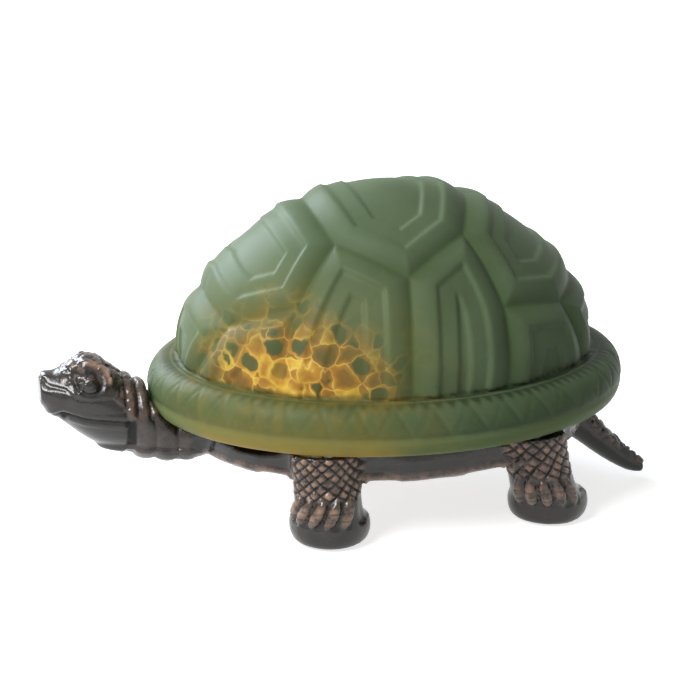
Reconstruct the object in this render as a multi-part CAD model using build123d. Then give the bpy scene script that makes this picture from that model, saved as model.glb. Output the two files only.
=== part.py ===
"""Turtle night light: a cast turtle base, a lift-off pressed-glass shell and a small screw-in bulb.

Millimetres, +Z up. The head points along -X and the tail along +X. The origin is on the table,
below the middle of the whole object's length. Shapes are drawn about the middle of the shell and
moved into that frame at the end.
"""
import math
import os

from build123d import *

# Reach of the head and the tail, from the middle of the shell
nose_reach = 136.5
tail_reach = 104.0

# Heights above the table
foot_pad_thickness = 1.0
band_bottom = 26.0
band_height = 12.0
rest_pad_thickness = 1.0
head_top = 63.5

# Glass shell
shell_length = 188.0
shell_width = 150.0
rim_height = 19.5
rim_bulge = 10.4
rim_widest_height = 8.5
lip_width = 6.0
lip_tuck = 6.0
crease_ledge = 2.4
dome_height = 66.0
glass_wall = 4.0
plate_rise = 2.8
plate_bevel_width = 6.5
end_plate_bevel_width = 4.0
plate_bevel_depth = 2.1
growth_step = 0.6
seam_half_width = 0.4
shell_room = 1.0

# Oval band of the casting
band_length = 156.0
band_width = 124.0
band_wall = 8.0
band_bevel = 3.0
band_dip = 4.5
band_dip_length = 28.0
band_dip_reach = 62.0

# Neck and head
neck_root_reach = 68.0
head_width = 29.0
nose_round = 3.0
eye_radius = 3.2
eye_reach = 119.0
eye_height = 56.0
eye_side = 10.4

# Tail
tail_root_reach = 64.0
tail_root_height = 31.0
tail_root_width = 16.0
tail_root_depth = 20.0
tail_tip_height = 4.4
tail_side = 12.5

# Legs and feet, on each side
front_foot_reach = 33.5
front_foot_side = 49.0
front_leg_reach = 36.5
front_leg_side = 55.5
rear_foot_reach = 54.0
rear_foot_side = 43.5
rear_leg_reach = 44.0
rear_leg_side = 53.0
foot_width = 31.0
foot_depth = 32.0
sole_height = 9.5
toe_height = 13.0
toe_radius = 2.8
toe_tip_radius = 2.0
toe_count = 5
toe_fan_angle = 96.0
front_toe_sweep_angle = 20.0
rear_toe_sweep_angle = 4.0

# Pads
foot_pad_radius = 9.0
rest_pad_radius = 2.2
post_radius = 2.5
post_height = 5.0
post_gap = 1.0

# Socket bridge and bracket
bridge_width = 22.0
bridge_thickness = 4.0
bridge_lift = 2.0
bracket_thickness = 1.5
bracket_width = 18.0
bracket_foot_length = 18.0
bracket_bend_radius = 2.0
bracket_corner_radius = 5.0
bracket_screw_radius = 2.0
bracket_screw_head_radius = 3.6
bracket_screw_head_height = 2.4
bracket_nut_width = 7.0
bracket_nut_height = 3.2
bracket_nut_sides = 6
lock_washer_radius = 3.8
lock_washer_thickness = 1.0
lock_washer_slot = 1.0
screw_end_length = 2.0
hole_clearance = 0.2
thread_clearance = 0.05
socket_chamfer = 0.8

# Lamp axis and socket
lamp_axis_height = 50.0
socket_back_reach = 15.0
socket_length = 27.0
socket_floor = 8.0
socket_wall = 3.0
thread_shell_wall = 0.5
thread_shell_length = 17.0
thread_shell_hole_radius = 4.0
contact_head_radius = 2.4
contact_head_height = 1.6
contact_shank_radius = 1.2
contact_back_gap = 2.5
terminal_screw_radius = 1.5
terminal_head_radius = 2.6
terminal_head_height = 1.8
terminal_depth = 4.0
terminal_flat = 0.6
terminal_flat_width = 6.0
fixing_screw_radius = 1.3
fixing_head_radius = 2.4
fixing_head_height = 1.6
fixing_depth = 5.0
fixing_spacing = 11.0
seat_clearance = 0.1

# Bulb with a small screw cap
cap_radius = 5.95
cap_length = 14.0
cap_wall = 0.4
cap_play = 0.3
cap_hole_radius = 2.5
tip_radius = 2.0
tip_height = 1.4
insulator_height = 2.6
insulator_tip_radius = 3.0
insulator_radius = 5.3
glass_length = 38.0
glass_radius = 11.0
bulb_wall = 0.8
neck_length = 5.0
stem_flare_height = 2.0
stem_radius = 2.0
stem_height = 12.0
lead_radius = 0.4
lead_length = 8.0
lead_spread = 2.4
filament_radius = 0.25

# Cord inlet
inlet_side = 24.0
inlet_height = 32.0
inlet_boss_radius = 7.0
inlet_boss_reach = 76.0
inlet_boss_length = 16.0
cord_hole_radius = 2.8
bushing_wall = 1.4
bushing_flange_radius = 6.2
bushing_flange_thickness = 2.0

# One overrun for every cut
overrun = 1.0

# Exponent of the dome's profile: 2 is an ellipse, and a smaller one is more pointed
dome_power = 1.82

# Places worked out from the sizes above
sole_bottom = foot_pad_thickness
band_top = band_bottom + band_height
shell_bottom = band_top + rest_pad_thickness
shell_radius = shell_length / 2
shell_squash = shell_width / shell_length
rim_top_radius = shell_radius - rim_bulge
dome_radius = rim_top_radius - crease_ledge
lip_outer_radius = shell_radius - lip_tuck
lip_inner_radius = lip_outer_radius - lip_width
band_squash = band_width / band_length
bridge_bottom = band_bottom + bridge_lift
bridge_top = bridge_bottom + bridge_thickness
cap_bore_radius = cap_radius + cap_play
thread_shell_radius = cap_bore_radius + thread_shell_wall
socket_bore_radius = thread_shell_radius + seat_clearance
socket_radius = socket_bore_radius + socket_wall
tip_start = socket_floor + contact_head_height
insulator_start = tip_start + tip_height
cap_start = insulator_start + insulator_height
glass_start = cap_start + cap_length
frame_shift = (nose_reach - tail_reach) / 2
sole_top = sole_bottom + sole_height
toe_top = sole_top + toe_height
cap_inner_radius = cap_radius - cap_wall
neck_radius = cap_inner_radius - seat_clearance
stem_top = glass_start - neck_length + stem_flare_height + stem_height
bracket_foot_top = bridge_top + bracket_thickness
bracket_screw_reach = socket_back_reach + bracket_thickness + bracket_foot_length / 2
bracket_nut_bottom = bridge_bottom - lock_washer_thickness - bracket_nut_height

# Legs on the positive side: foot, top and how far the toes sweep towards the head
leg_places = (
    ((-front_foot_reach, front_foot_side), (-front_leg_reach, front_leg_side), front_toe_sweep_angle),
    ((rear_foot_reach, rear_foot_side), (rear_leg_reach, rear_leg_side), rear_toe_sweep_angle),
)

# How far each shank has leaned over where the toes end
ankle_lean_share = 0.6

# Foot and shank outlines: height, then lean towards the leg's top, width and depth as shares of the foot's
foot_sections = (
    (sole_bottom, 0.0, 0.90, 0.90),
    (sole_bottom + sole_height / 2, 0.0, 1.0, 1.0),
    (sole_top, 0.0, 0.95, 0.95),
)
shank_sections = (
    (sole_bottom + sole_height / 2, 0.0, 0.88, 0.82),
    (toe_top, ankle_lean_share, 0.82, 0.68),
    (band_top + rest_pad_thickness / 2, 1.0, 0.88, 0.64),
)

# Profile of the dome: how far out, as a share of its radius, each point of the curve lies
dome_curve_shares = (1.0, 0.985, 0.93, 0.82, 0.66, 0.46, 0.24, 0.0)

# Corners of the scutes on the near side, as shares of the dome's radius, before the plan is squashed
ridge_front_share = (-0.88, 0.0)
ridge_rear_share = (0.88, 0.0)
ridge_middle_rear_share = (0.37, 0.0)
first_seam_share = (-0.82, -0.43)
second_seam_share = (-0.335, -0.475)
third_seam_share = (0.27, -0.49)
fourth_seam_share = (0.735, -0.53)
second_side_share = (-0.54, -0.665)
third_side_share = (-0.035, -0.735)
fourth_side_share = (0.405, -0.775)

# Corners on the crease, pushed outwards so that each plate runs down into it
foot_push_share = 1.1
first_foot_share = (-0.976 * foot_push_share, -0.218 * foot_push_share)
second_foot_share = (-0.66 * foot_push_share, -0.75 * foot_push_share)
third_foot_share = (-0.07 * foot_push_share, -0.998 * foot_push_share)
fourth_foot_share = (0.387 * foot_push_share, -0.922 * foot_push_share)
fifth_foot_share = (0.859 * foot_push_share, -0.512 * foot_push_share)

# Neck and head: how far along from root to nose, then top, bottom and width as shares of the head's own
head_section_shares = (
    (0.00, 0.63, 0.40, 1.38),
    (0.20, 0.67, 0.32, 1.17),
    (0.36, 0.78, 0.325, 1.04),
    (0.47, 0.84, 0.375, 0.98),
    (0.59, 0.92, 0.415, 0.98),
    (0.71, 1.00, 0.465, 1.00),
    (0.82, 0.965, 0.555, 0.88),
    (0.92, 0.91, 0.645, 0.66),
    (1.00, 0.885, 0.735, 0.46),
)

# Tail: how far along from root to tip, then drop, swing to the side and thickness
tail_section_shares = (
    (0.00, 0.00, 0.00, 1.00),
    (0.34, 0.28, 0.10, 0.90),
    (0.60, 0.62, 0.38, 0.74),
    (0.83, 0.88, 0.74, 0.52),
    (1.00, 1.00, 1.00, 0.26),
)

# Toes: how far out their tips and roots lie on the foot
toe_tip_share = 0.82
toe_root_share = 0.68

# Band: how high its widest part reaches
band_waist_share = 0.6

# Bulb glass: radius and length of the two points that pull its curve
bulb_pull_shares = ((1.25, 0.20), (1.25, 1.00))

# Shoulder of the rim, as shares of its bulge and of its height above the widest point
rim_shoulder_shares = (0.76, 0.72)

# Growth lines: how large each step down is, against the scute it lies on
growth_shares = (0.64, 0.38)

# How far the sides that cut out a scute run on past its corners
scute_reach_share = 0.6

# Where the dome's profile starts its turn, clear of the scutes' corners
dome_start_angle = 160.0


def mirrored(share):
    """The same corner on the far side of the ridge."""
    return (share[0], -share[1])


def both_sides(*shares):
    """A ridge scute's outline: the near corners, then the far ones in the opposite order."""
    return list(shares) + [mirrored(share) for share in reversed(shares) if share[1]]


ridge_scutes = [
    both_sides(ridge_front_share, first_seam_share, first_foot_share),
    both_sides(ridge_front_share, first_seam_share, second_side_share, second_seam_share),
    both_sides(second_seam_share, third_side_share, third_seam_share, ridge_middle_rear_share),
    both_sides(
        ridge_middle_rear_share, third_seam_share, fourth_side_share, fourth_seam_share, ridge_rear_share
    ),
    both_sides(fifth_foot_share, fourth_seam_share, ridge_rear_share),
]
side_scutes = [
    [first_seam_share, first_foot_share, second_foot_share, second_side_share],
    [second_side_share, second_foot_share, third_foot_share, third_side_share, second_seam_share],
    [third_side_share, third_foot_share, fourth_foot_share, fourth_side_share, third_seam_share],
    [fourth_side_share, fourth_foot_share, fifth_foot_share, fourth_seam_share],
]


def dome_level(share, height):
    """Height of a dome above its foot, at a share of its radius."""
    return height * max(0.0, 1.0 - share ** dome_power) ** (1.0 / dome_power)


def dome_curve(radius, height):
    """The dome's profile, from its foot at the crease to its top."""
    points = [(radius * share, 0, rim_height + dome_level(share, height)) for share in dome_curve_shares]
    return Spline(*points, tangents=((0, 0, 1), (-1, 0, 0)))


def dome_solid(radius, height, foot):
    """A solid dome of the shell's profile, standing on the height named by foot."""
    curve = dome_curve(radius, height)
    outline = Polyline(curve @ 1, (0, 0, foot), (radius, 0, foot), curve @ 0)
    return Rot(0, 0, dome_start_angle) * revolve(make_face([curve, outline]), Axis.Z)


def scute_point(share):
    """The point on the dome below a scute corner, or past its foot for a corner beyond the crease."""
    out = math.hypot(*share)
    level = dome_level(out, dome_height) if out < 1.0 else (1.0 - out) * dome_height
    return Vector(dome_radius * share[0], dome_radius * share[1], rim_height + level)


def mean(points):
    """The middle of some points."""
    return sum(points, Vector()) / len(points)


def scute_cell(shares, size_share, inset):
    """A pyramid from the dome's middle through a scute's corners, drawn in to its middle or its foot."""
    apex = Vector(0, 0, rim_height)
    corners = [scute_point(share) for share in shares]
    on_crease = [corner for corner, share in zip(corners, shares) if math.hypot(*share) > 1.0]
    anchor = mean(on_crease or corners)
    roots = []
    for corner in corners:
        to_anchor = anchor - corner
        drawn = corner + to_anchor * (1.0 - size_share) + to_anchor.normalized() * inset
        roots.append(drawn + (drawn - apex) * scute_reach_share)
    faces = []
    for first, second in zip(roots, roots[1:] + roots[:1]):
        faces.append(Face(Wire.make_polygon([apex, first, second])))
        faces.append(Face(Wire.make_polygon([mean(roots), second, first])))
    return Solid(Shell(faces))


def scute_plate(shares, bevel_width, raised, lowered):
    """A plate raised over one scute, with a bevelled edge and growth lines that step down to its middle."""
    plate = (scute_cell(shares, 1.0, seam_half_width) & raised).solid()
    top = plate.faces().filter_by(GeomType.REVOLUTION).sort_by(SortBy.AREA)[-1]
    outer_edges = []
    for edge in top.edges():
        from_axis = min(math.hypot(corner.X, corner.Y) for corner in edge.vertices())
        on_crease = max(corner.Z for corner in edge.vertices()) < rim_height + crease_ledge
        if from_axis > seam_half_width and not on_crease:
            outer_edges.append(edge)
    plate = plate.chamfer(bevel_width, plate_bevel_depth, outer_edges, face=top)
    for size_share, floor in zip(growth_shares, lowered):
        plate -= scute_cell(shares, size_share, 0) - floor
    return plate


def rim_outline():
    """The rim's rounded outside, in two curves: lip to widest point, and widest point to crease."""
    widest = (shell_radius, 0, rim_widest_height)
    shoulder_radius = rim_top_radius + rim_bulge * rim_shoulder_shares[0]
    shoulder_height = rim_widest_height + (rim_height - rim_widest_height) * rim_shoulder_shares[1]
    lower = Spline((lip_outer_radius, 0, 0), widest, tangents=((1, 0, 1), (0, 0, 1)))
    upper = Spline(
        widest,
        (shoulder_radius, 0, shoulder_height),
        (rim_top_radius, 0, rim_height),
        tangents=((0, 0, 1), (-1, 0, 0)),
    )
    return [lower, upper]


def glass_shell():
    """Pressed-glass shade: an oval dome of bevelled, stepped scutes above a rounded rim."""
    rim_curve = rim_outline()
    curve = dome_curve(dome_radius, dome_height)
    ledge = Line(rim_curve[-1] @ 1, curve @ 0)
    close = Polyline(curve @ 1, (0, 0, 0), (lip_outer_radius, 0, 0))
    outside = revolve(make_face([*rim_curve, ledge, curve, close]), Axis.Z)
    domes = []
    for step in range(len(growth_shares) + 1):
        rise = plate_rise - growth_step * step
        domes.append(dome_solid(dome_radius + rise, dome_height + rise, rim_height - crease_ledge))
    far_scutes = [[mirrored(share) for share in outline] for outline in side_scutes]
    plates = []
    for outline in ridge_scutes + side_scutes + far_scutes:
        at_end = outline in (ridge_scutes[0], ridge_scutes[-1])
        bevel_width = end_plate_bevel_width if at_end else plate_bevel_width
        plates.append(scute_plate(outline, bevel_width, domes[0], domes[1:]))
    inner_curve = dome_curve(dome_radius - glass_wall, dome_height - glass_wall)
    inner_side = Polyline(
        inner_curve @ 1,
        (0, 0, -overrun),
        (lip_inner_radius, 0, -overrun),
        (lip_inner_radius, 0, 0),
        inner_curve @ 0,
    )
    inside = revolve(make_face([inner_curve, inner_side]), Axis.Z)
    shell = outside.fuse(*plates) - inside
    return Pos(0, 0, shell_bottom) * scale(shell, by=(1, shell_squash, 1))


def oval_place(reach, radius, squash):
    """A point on an oval at this reach along X, on the positive side, with its outward direction."""
    side = squash * math.sqrt(radius ** 2 - reach ** 2)
    outward = Vector(reach, side / squash ** 2, 0).normalized()
    return Vector(reach, side, 0), outward


def limb_along_x(sections):
    """A solid through upright ovals: each has its reach, side, height, half width and half height."""
    faces = []
    for reach, side, height, half_width, half_height in sections:
        upright = Plane(origin=(reach, side, height), x_dir=(0, 1, 0), z_dir=(1, 0, 0))
        faces.append(upright * Ellipse(half_width, half_height))
    return loft(faces)


def head():
    """Neck and head, from inside the band to the blunt snout."""
    sections = []
    for along_share, top_share, bottom_share, width_share in head_section_shares:
        reach = neck_root_reach + (nose_reach - neck_root_reach) * along_share
        top = head_top * top_share
        bottom = head_top * bottom_share
        sections.append((-reach, 0, (top + bottom) / 2, head_width / 2 * width_share, (top - bottom) / 2))
    limb = limb_along_x(sections)
    limb = fillet(limb.edges().group_by(Axis.X)[0], nose_round)
    eyes = [Pos(-eye_reach, side * eye_side, eye_height) * Sphere(eye_radius) for side in (1, -1)]
    return limb.fuse(*eyes)


def tail():
    """Tail, drooping from the band's rear and swinging to one side."""
    sections = []
    for along_share, drop_share, swing_share, size_share in tail_section_shares:
        reach = tail_root_reach + (tail_reach - tail_root_reach) * along_share
        height = tail_root_height + (tail_tip_height - tail_root_height) * drop_share
        half_width = tail_root_width / 2 * size_share
        half_height = tail_root_depth / 2 * size_share
        sections.append((reach, -tail_side * swing_share, height, half_width, half_height))
    return limb_along_x(sections)


def stacked(sections, foot, top):
    """A solid through level ovals, leaning from the foot's middle to the leg's top."""
    faces = []
    for height, lean_share, width_share, depth_share in sections:
        middle = foot + (top - foot) * lean_share
        outline = Ellipse(foot_width / 2 * width_share, foot_depth / 2 * depth_share)
        faces.append(Pos(middle.X, middle.Y, height) * outline)
    return loft(faces)


def edge_of_foot(angle):
    """The point on the foot's outline at this angle, measured from the foot's middle."""
    turn = math.radians(angle)
    return Vector(foot_width / 2 * math.cos(turn), foot_depth / 2 * math.sin(turn), 0)


def leg(foot, top, sweep_angle):
    """One leg: a rounded sole, a shank that carries the glass, and a swept fan of toes on the foot."""
    ankle = foot + (top - foot) * ankle_lean_share
    toes = []
    for index in range(toe_count):
        angle = 90 + toe_fan_angle * (index / (toe_count - 1) - 0.5)
        tip = foot + edge_of_foot(angle + sweep_angle) * toe_tip_share + Vector(0, 0, sole_top - toe_radius)
        root = ankle + edge_of_foot(angle) * toe_root_share + Vector(0, 0, toe_top)
        along = Plane(origin=tip, z_dir=root - tip)
        toes.append(along * standing_cone(toe_radius, toe_tip_radius, (root - tip).length))
    return stacked(foot_sections, foot, top).fuse(stacked(shank_sections, foot, top), *toes)


def band():
    """The oval band below the glass, with a bevelled lower edge and a dip on each side of the neck."""
    outer = band_length / 2
    inner = outer - band_wall
    waist_height = band_bottom + band_height * band_waist_share
    profile = Polyline(
        (inner, 0, band_bottom),
        (outer - band_bevel, 0, band_bottom),
        (outer, 0, band_bottom + band_bevel),
        (outer, 0, waist_height),
        (outer - band_bevel / 2, 0, band_top),
        (inner, 0, band_top),
        close=True,
    )
    oval = scale(revolve(make_face(profile), Axis.Z), by=(1, band_squash, 1))
    dip_radius = band_dip / 2 + band_dip_length ** 2 / (8 * band_dip)
    dip_place = Pos(-band_dip_reach, 0, band_top - band_dip + dip_radius) * Rot(90, 0, 0)
    return oval - dip_place * Cylinder(dip_radius, band_width)


def shell_recess():
    """The room that the casting leaves for the glass above its seats."""
    seat = band_top - shell_bottom
    widest = shell_radius + shell_room
    flank = Spline(
        (lip_outer_radius + shell_room, 0, seat),
        (widest, 0, rim_widest_height),
        tangents=((1, 0, 1), (0, 0, 1)),
    )
    top = rim_height + dome_height
    close = Polyline(flank @ 1, (widest, 0, top), (0, 0, top), (0, 0, seat), flank @ 0)
    room = revolve(make_face([flank, close]), Axis.Z)
    return Pos(0, 0, shell_bottom) * scale(room, by=(1, shell_squash, 1))


def base_casting():
    """The turtle's body in one casting: band, head, legs, tail, bridge, posts and cord boss."""
    body = [head(), tail()]
    for reach_and_side, top_place, sweep_angle in leg_places:
        foot = Vector(*reach_and_side)
        right_leg = leg(foot, Vector(*top_place), sweep_angle)
        body.append(right_leg)
        body.append(mirror(right_leg, about=Plane.XZ))
    casting = band().fuse(*body) - shell_recess()
    bridge_reach = socket_back_reach + bracket_foot_length / 2
    bridge_end = oval_place(bridge_reach, band_length / 2 - band_wall / 2, band_squash)[0]
    bridge_place = Pos(bridge_reach, 0, bridge_bottom + bridge_thickness / 2)
    bridge = bridge_place * Box(bridge_width, 2 * bridge_end.Y, bridge_thickness)
    extras = [bridge, cord_boss()]
    for place in post_places():
        extras.append(Pos(place.X, place.Y, band_bottom) * rod(post_radius, band_height + post_height))
    return casting.fuse(*extras) - bracket_screw_hole() - cord_hole()


def seat_places():
    """Middles of the four rest pads, below the middle of the glass lip."""
    lip_middle = (lip_inner_radius + lip_outer_radius) / 2
    places = []
    for reach in (-front_leg_reach, rear_leg_reach):
        place = oval_place(reach, lip_middle, shell_squash)[0]
        places += [place, Vector(place.X, -place.Y, 0)]
    return places


def post_places():
    """Middles of the four posts that keep the glass from sliding."""
    places = []
    for reach in (-front_leg_reach, rear_leg_reach):
        edge, outward = oval_place(reach, lip_inner_radius, shell_squash)
        place = edge - outward * (post_radius + post_gap)
        places += [place, Vector(place.X, -place.Y, 0)]
    return places


def along_lamp(start):
    """A place on the lamp axis, with local +Z towards the head and zero at the socket's back."""
    return Pos(socket_back_reach - start, 0, lamp_axis_height) * Rot(0, -90, 0)


def rod(radius, length):
    """A cylinder standing on its base."""
    return Cylinder(radius, length, align=(Align.CENTER, Align.CENTER, Align.MIN))


def standing_cone(radius, end_radius, length):
    """A cone standing on its base."""
    return Cone(radius, end_radius, length, align=(Align.CENTER, Align.CENTER, Align.MIN))


def cord_boss():
    """Round boss in the band's wall for the cord inlet."""
    place = Pos(inlet_boss_reach - inlet_boss_length, inlet_side, inlet_height) * Rot(0, 90, 0)
    return place * rod(inlet_boss_radius, inlet_boss_length)


def cord_hole():
    """The hole through the boss that the bushing sits in."""
    radius = cord_hole_radius + bushing_wall + seat_clearance
    place = Pos(inlet_boss_reach - inlet_boss_length - overrun, inlet_side, inlet_height) * Rot(0, 90, 0)
    return place * rod(radius, inlet_boss_length + 2 * overrun)


def cord_bushing():
    """Flanged sleeve that keeps the cord off the metal."""
    place = Pos(inlet_boss_reach - inlet_boss_length, inlet_side, inlet_height) * Rot(0, 90, 0)
    sleeve = rod(cord_hole_radius + bushing_wall, inlet_boss_length)
    flange = Pos(0, 0, inlet_boss_length) * rod(bushing_flange_radius, bushing_flange_thickness)
    bore_length = inlet_boss_length + bushing_flange_thickness + 2 * overrun
    bore = Pos(0, 0, -overrun) * rod(cord_hole_radius, bore_length)
    return place * (sleeve + flange - bore)


def bracket_screw_place(height):
    """A place on the upright axis of the bracket screw."""
    return Pos(bracket_screw_reach, 0, height)


def bracket_screw_hole():
    """The screw's hole through the bridge."""
    place = bracket_screw_place(bridge_bottom - overrun)
    return place * rod(bracket_screw_radius + hole_clearance, bridge_thickness + 2 * overrun)


def fixing_places(start):
    """Places of the two screws that hold the socket to its bracket, one above the other."""
    return [along_lamp(start) * Pos(side * fixing_spacing / 2, 0, 0) for side in (1, -1)]


def socket_bracket():
    """Bent strip that holds the socket level above the bridge."""
    top = lamp_axis_height + socket_radius
    back = socket_back_reach + bracket_thickness
    end = socket_back_reach + bracket_foot_length
    strip = Polyline(
        (socket_back_reach, 0, top),
        (socket_back_reach, 0, bridge_top),
        (end, 0, bridge_top),
        (end, 0, bracket_foot_top),
        (back, 0, bracket_foot_top),
        (back, 0, top),
        close=True,
    )
    bent = extrude(make_face(strip), amount=bracket_width / 2, dir=(0, 1, 0), both=True)
    inner_corner = Vector(back, 0, bracket_foot_top)
    bent = fillet(bent.edges().filter_by(Axis.Y).sort_by_distance(inner_corner)[0], bracket_bend_radius)
    outer_corner = Vector(socket_back_reach, 0, bridge_top)
    outer_radius = bracket_bend_radius + bracket_thickness
    bent = fillet(bent.edges().filter_by(Axis.Y).sort_by_distance(outer_corner)[0], outer_radius)
    bent = fillet(bent.edges().filter_by(Axis.X).sort_by(Axis.Z)[-2:], bracket_corner_radius)
    hole_length = bracket_thickness + 2 * overrun
    foot_hole = rod(bracket_screw_radius + hole_clearance, hole_length)
    holes = [bracket_screw_place(bridge_top - overrun) * foot_hole]
    for place in fixing_places(-bracket_thickness - overrun):
        holes.append(place * rod(fixing_screw_radius + hole_clearance, hole_length))
    return bent - holes


def bracket_screw():
    """Pan-head screw through the bracket's foot and the bridge."""
    start = bracket_nut_bottom - screw_end_length
    shank = bracket_screw_place(start) * rod(bracket_screw_radius, bracket_foot_top - start)
    head = rod(bracket_screw_head_radius, bracket_screw_head_height)
    head = fillet(head.edges().group_by(Axis.Z)[-1], bracket_screw_head_height / 2)
    return shank + bracket_screw_place(bracket_foot_top) * head


def bracket_nut():
    """Hexagon nut below the bridge."""
    hexagon = RegularPolygon(bracket_nut_width / 2, bracket_nut_sides, major_radius=False)
    nut = extrude(hexagon, amount=bracket_nut_height)
    bore_length = bracket_nut_height + 2 * overrun
    nut -= Pos(0, 0, -overrun) * rod(bracket_screw_radius + thread_clearance, bore_length)
    return bracket_screw_place(bracket_nut_bottom) * nut


def bracket_lock_washer():
    """Split washer between the nut and the bridge."""
    washer = rod(lock_washer_radius, lock_washer_thickness)
    bore_length = lock_washer_thickness + 2 * overrun
    washer -= Pos(0, 0, -overrun) * rod(bracket_screw_radius + hole_clearance, bore_length)
    washer -= Pos(lock_washer_radius, 0, 0) * Box(2 * lock_washer_radius, lock_washer_slot, bore_length * 2)
    return bracket_screw_place(bracket_nut_bottom + bracket_nut_height) * washer


def terminal_places():
    """Places of the two wire terminals, on the socket's flats, pointing outwards."""
    middle = along_lamp(socket_floor / 2)
    flat_level = socket_radius - terminal_flat
    return [middle * Rot(turn, 0, 0) * Pos(0, 0, flat_level) for turn in (-90, 90)]


def socket_body():
    """Moulded cup of the lamp socket, closed at the back."""
    cup = rod(socket_radius, socket_length)
    cup = chamfer(cup.edges().group_by(Axis.Z)[-1], socket_chamfer)
    cup -= Pos(0, 0, socket_floor) * rod(socket_bore_radius, socket_length)
    cup -= Pos(0, 0, contact_back_gap) * rod(contact_shank_radius + seat_clearance, socket_floor)
    cup = along_lamp(0) * cup
    cuts = []
    for place in terminal_places():
        hole = rod(terminal_screw_radius + seat_clearance, terminal_depth)
        cuts.append(place * Pos(0, 0, -terminal_depth) * hole)
        flat = Box(terminal_flat_width, terminal_flat_width, 2 * terminal_flat)
        cuts.append(place * Pos(0, 0, terminal_flat) * flat)
    for place in fixing_places(0):
        cuts.append(place * rod(fixing_screw_radius + seat_clearance, fixing_depth))
    return cup - cuts


def socket_thread_shell():
    """Brass shell that the bulb's cap screws into."""
    tube = rod(thread_shell_radius, thread_shell_length)
    tube -= Pos(0, 0, thread_shell_wall) * rod(cap_bore_radius, thread_shell_length)
    tube -= Pos(0, 0, -overrun) * rod(thread_shell_hole_radius, thread_shell_length)
    return along_lamp(socket_floor) * tube


def socket_centre_contact():
    """Riveted stud that the bulb's tip presses on."""
    shank_length = socket_floor - contact_back_gap
    shank = along_lamp(contact_back_gap) * rod(contact_shank_radius, shank_length)
    return shank + along_lamp(socket_floor) * rod(contact_head_radius, contact_head_height)


def socket_terminal_screws():
    """Two wire screws on the socket's flats."""
    screws = []
    for place in terminal_places():
        shank = place * Pos(0, 0, -terminal_depth) * rod(terminal_screw_radius, terminal_depth)
        screws.append(shank + place * rod(terminal_head_radius, terminal_head_height))
    return Compound(screws)


def socket_fixing_screws():
    """Two screws through the bracket into the socket's floor."""
    screws = []
    shank_length = bracket_thickness + fixing_depth
    heads = fixing_places(-bracket_thickness - fixing_head_height)
    for shank_place, head_place in zip(fixing_places(-bracket_thickness), heads):
        head = head_place * rod(fixing_head_radius, fixing_head_height)
        screws.append(head + shank_place * rod(fixing_screw_radius, shank_length))
    return Compound(screws)


def bulb_tip_contact():
    """Solder button at the end of the bulb's cap."""
    return along_lamp(tip_start) * rod(tip_radius, tip_height)


def bulb_cap_insulator():
    """Black glass cone between the cap and its tip."""
    cone = standing_cone(insulator_tip_radius, insulator_radius, insulator_height)
    return along_lamp(insulator_start) * cone


def bulb_cap():
    """Thin brass screw cap."""
    cap = rod(cap_radius, cap_length)
    cap -= Pos(0, 0, cap_wall) * rod(cap_inner_radius, cap_length)
    cap -= Pos(0, 0, -overrun) * rod(cap_hole_radius, cap_length)
    return along_lamp(cap_start) * cap


def bulb_blank(neck, radius, length, neck_start):
    """A solid of the bulb's outline, from the foot of its neck to its tip."""
    pulls = [(radius * out, 0, length * along) for out, along in bulb_pull_shares]
    curve = Bezier((neck, 0, 0), *pulls, (0, 0, length))
    close = Polyline(curve @ 1, (0, 0, neck_start), (neck, 0, neck_start), curve @ 0)
    return revolve(make_face([curve, close]), Axis.Z)


def bulb_glass():
    """Thin pear-shaped glass, open at the foot of its neck."""
    outside = bulb_blank(neck_radius, glass_radius, glass_length, -neck_length)
    inside = bulb_blank(
        neck_radius - bulb_wall, glass_radius - bulb_wall, glass_length - bulb_wall, -neck_length - overrun
    )
    return along_lamp(glass_start) * (outside - inside)


def bulb_stem():
    """Glass stem that closes the neck and carries the lead wires."""
    flare = rod(neck_radius - bulb_wall - seat_clearance, stem_flare_height)
    post = Pos(0, 0, stem_flare_height) * rod(stem_radius, stem_height)
    return along_lamp(glass_start - neck_length) * (flare + post)


def lead_places():
    """Places of the two lead wires on the stem's top."""
    return [along_lamp(stem_top) * Pos(side * lead_spread / 2, 0, 0) for side in (1, -1)]


def bulb_lead_wires():
    """Two wires from the stem to the filament."""
    return Compound([place * rod(lead_radius, lead_length) for place in lead_places()])


def bulb_filament():
    """Arched filament between the ends of the lead wires."""
    section = Pos(lead_spread / 2, 0, 0) * Circle(filament_radius)
    arch = revolve(section, Axis.Y, -180)
    return along_lamp(stem_top + lead_length) * arch


def foot_pads():
    """Round pads under the four feet, by name."""
    pads = {}
    for end, (foot, top, sweep_angle) in zip(("front", "rear"), leg_places):
        for side, sign in (("right", 1), ("left", -1)):
            pad = rod(foot_pad_radius, foot_pad_thickness)
            pads[f"{end}_{side}_foot_pad"] = Pos(foot[0], sign * foot[1], 0) * pad
    return pads


def rest_pads():
    """Small pads on the leg tops that the glass stands on, by name."""
    names = ("front_right", "front_left", "rear_right", "rear_left")
    pads = {}
    for name, place in zip(names, seat_places()):
        pad = rod(rest_pad_radius, rest_pad_thickness)
        pads[f"{name}_rest_pad"] = Pos(place.X, place.Y, band_top) * pad
    return pads


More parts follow.
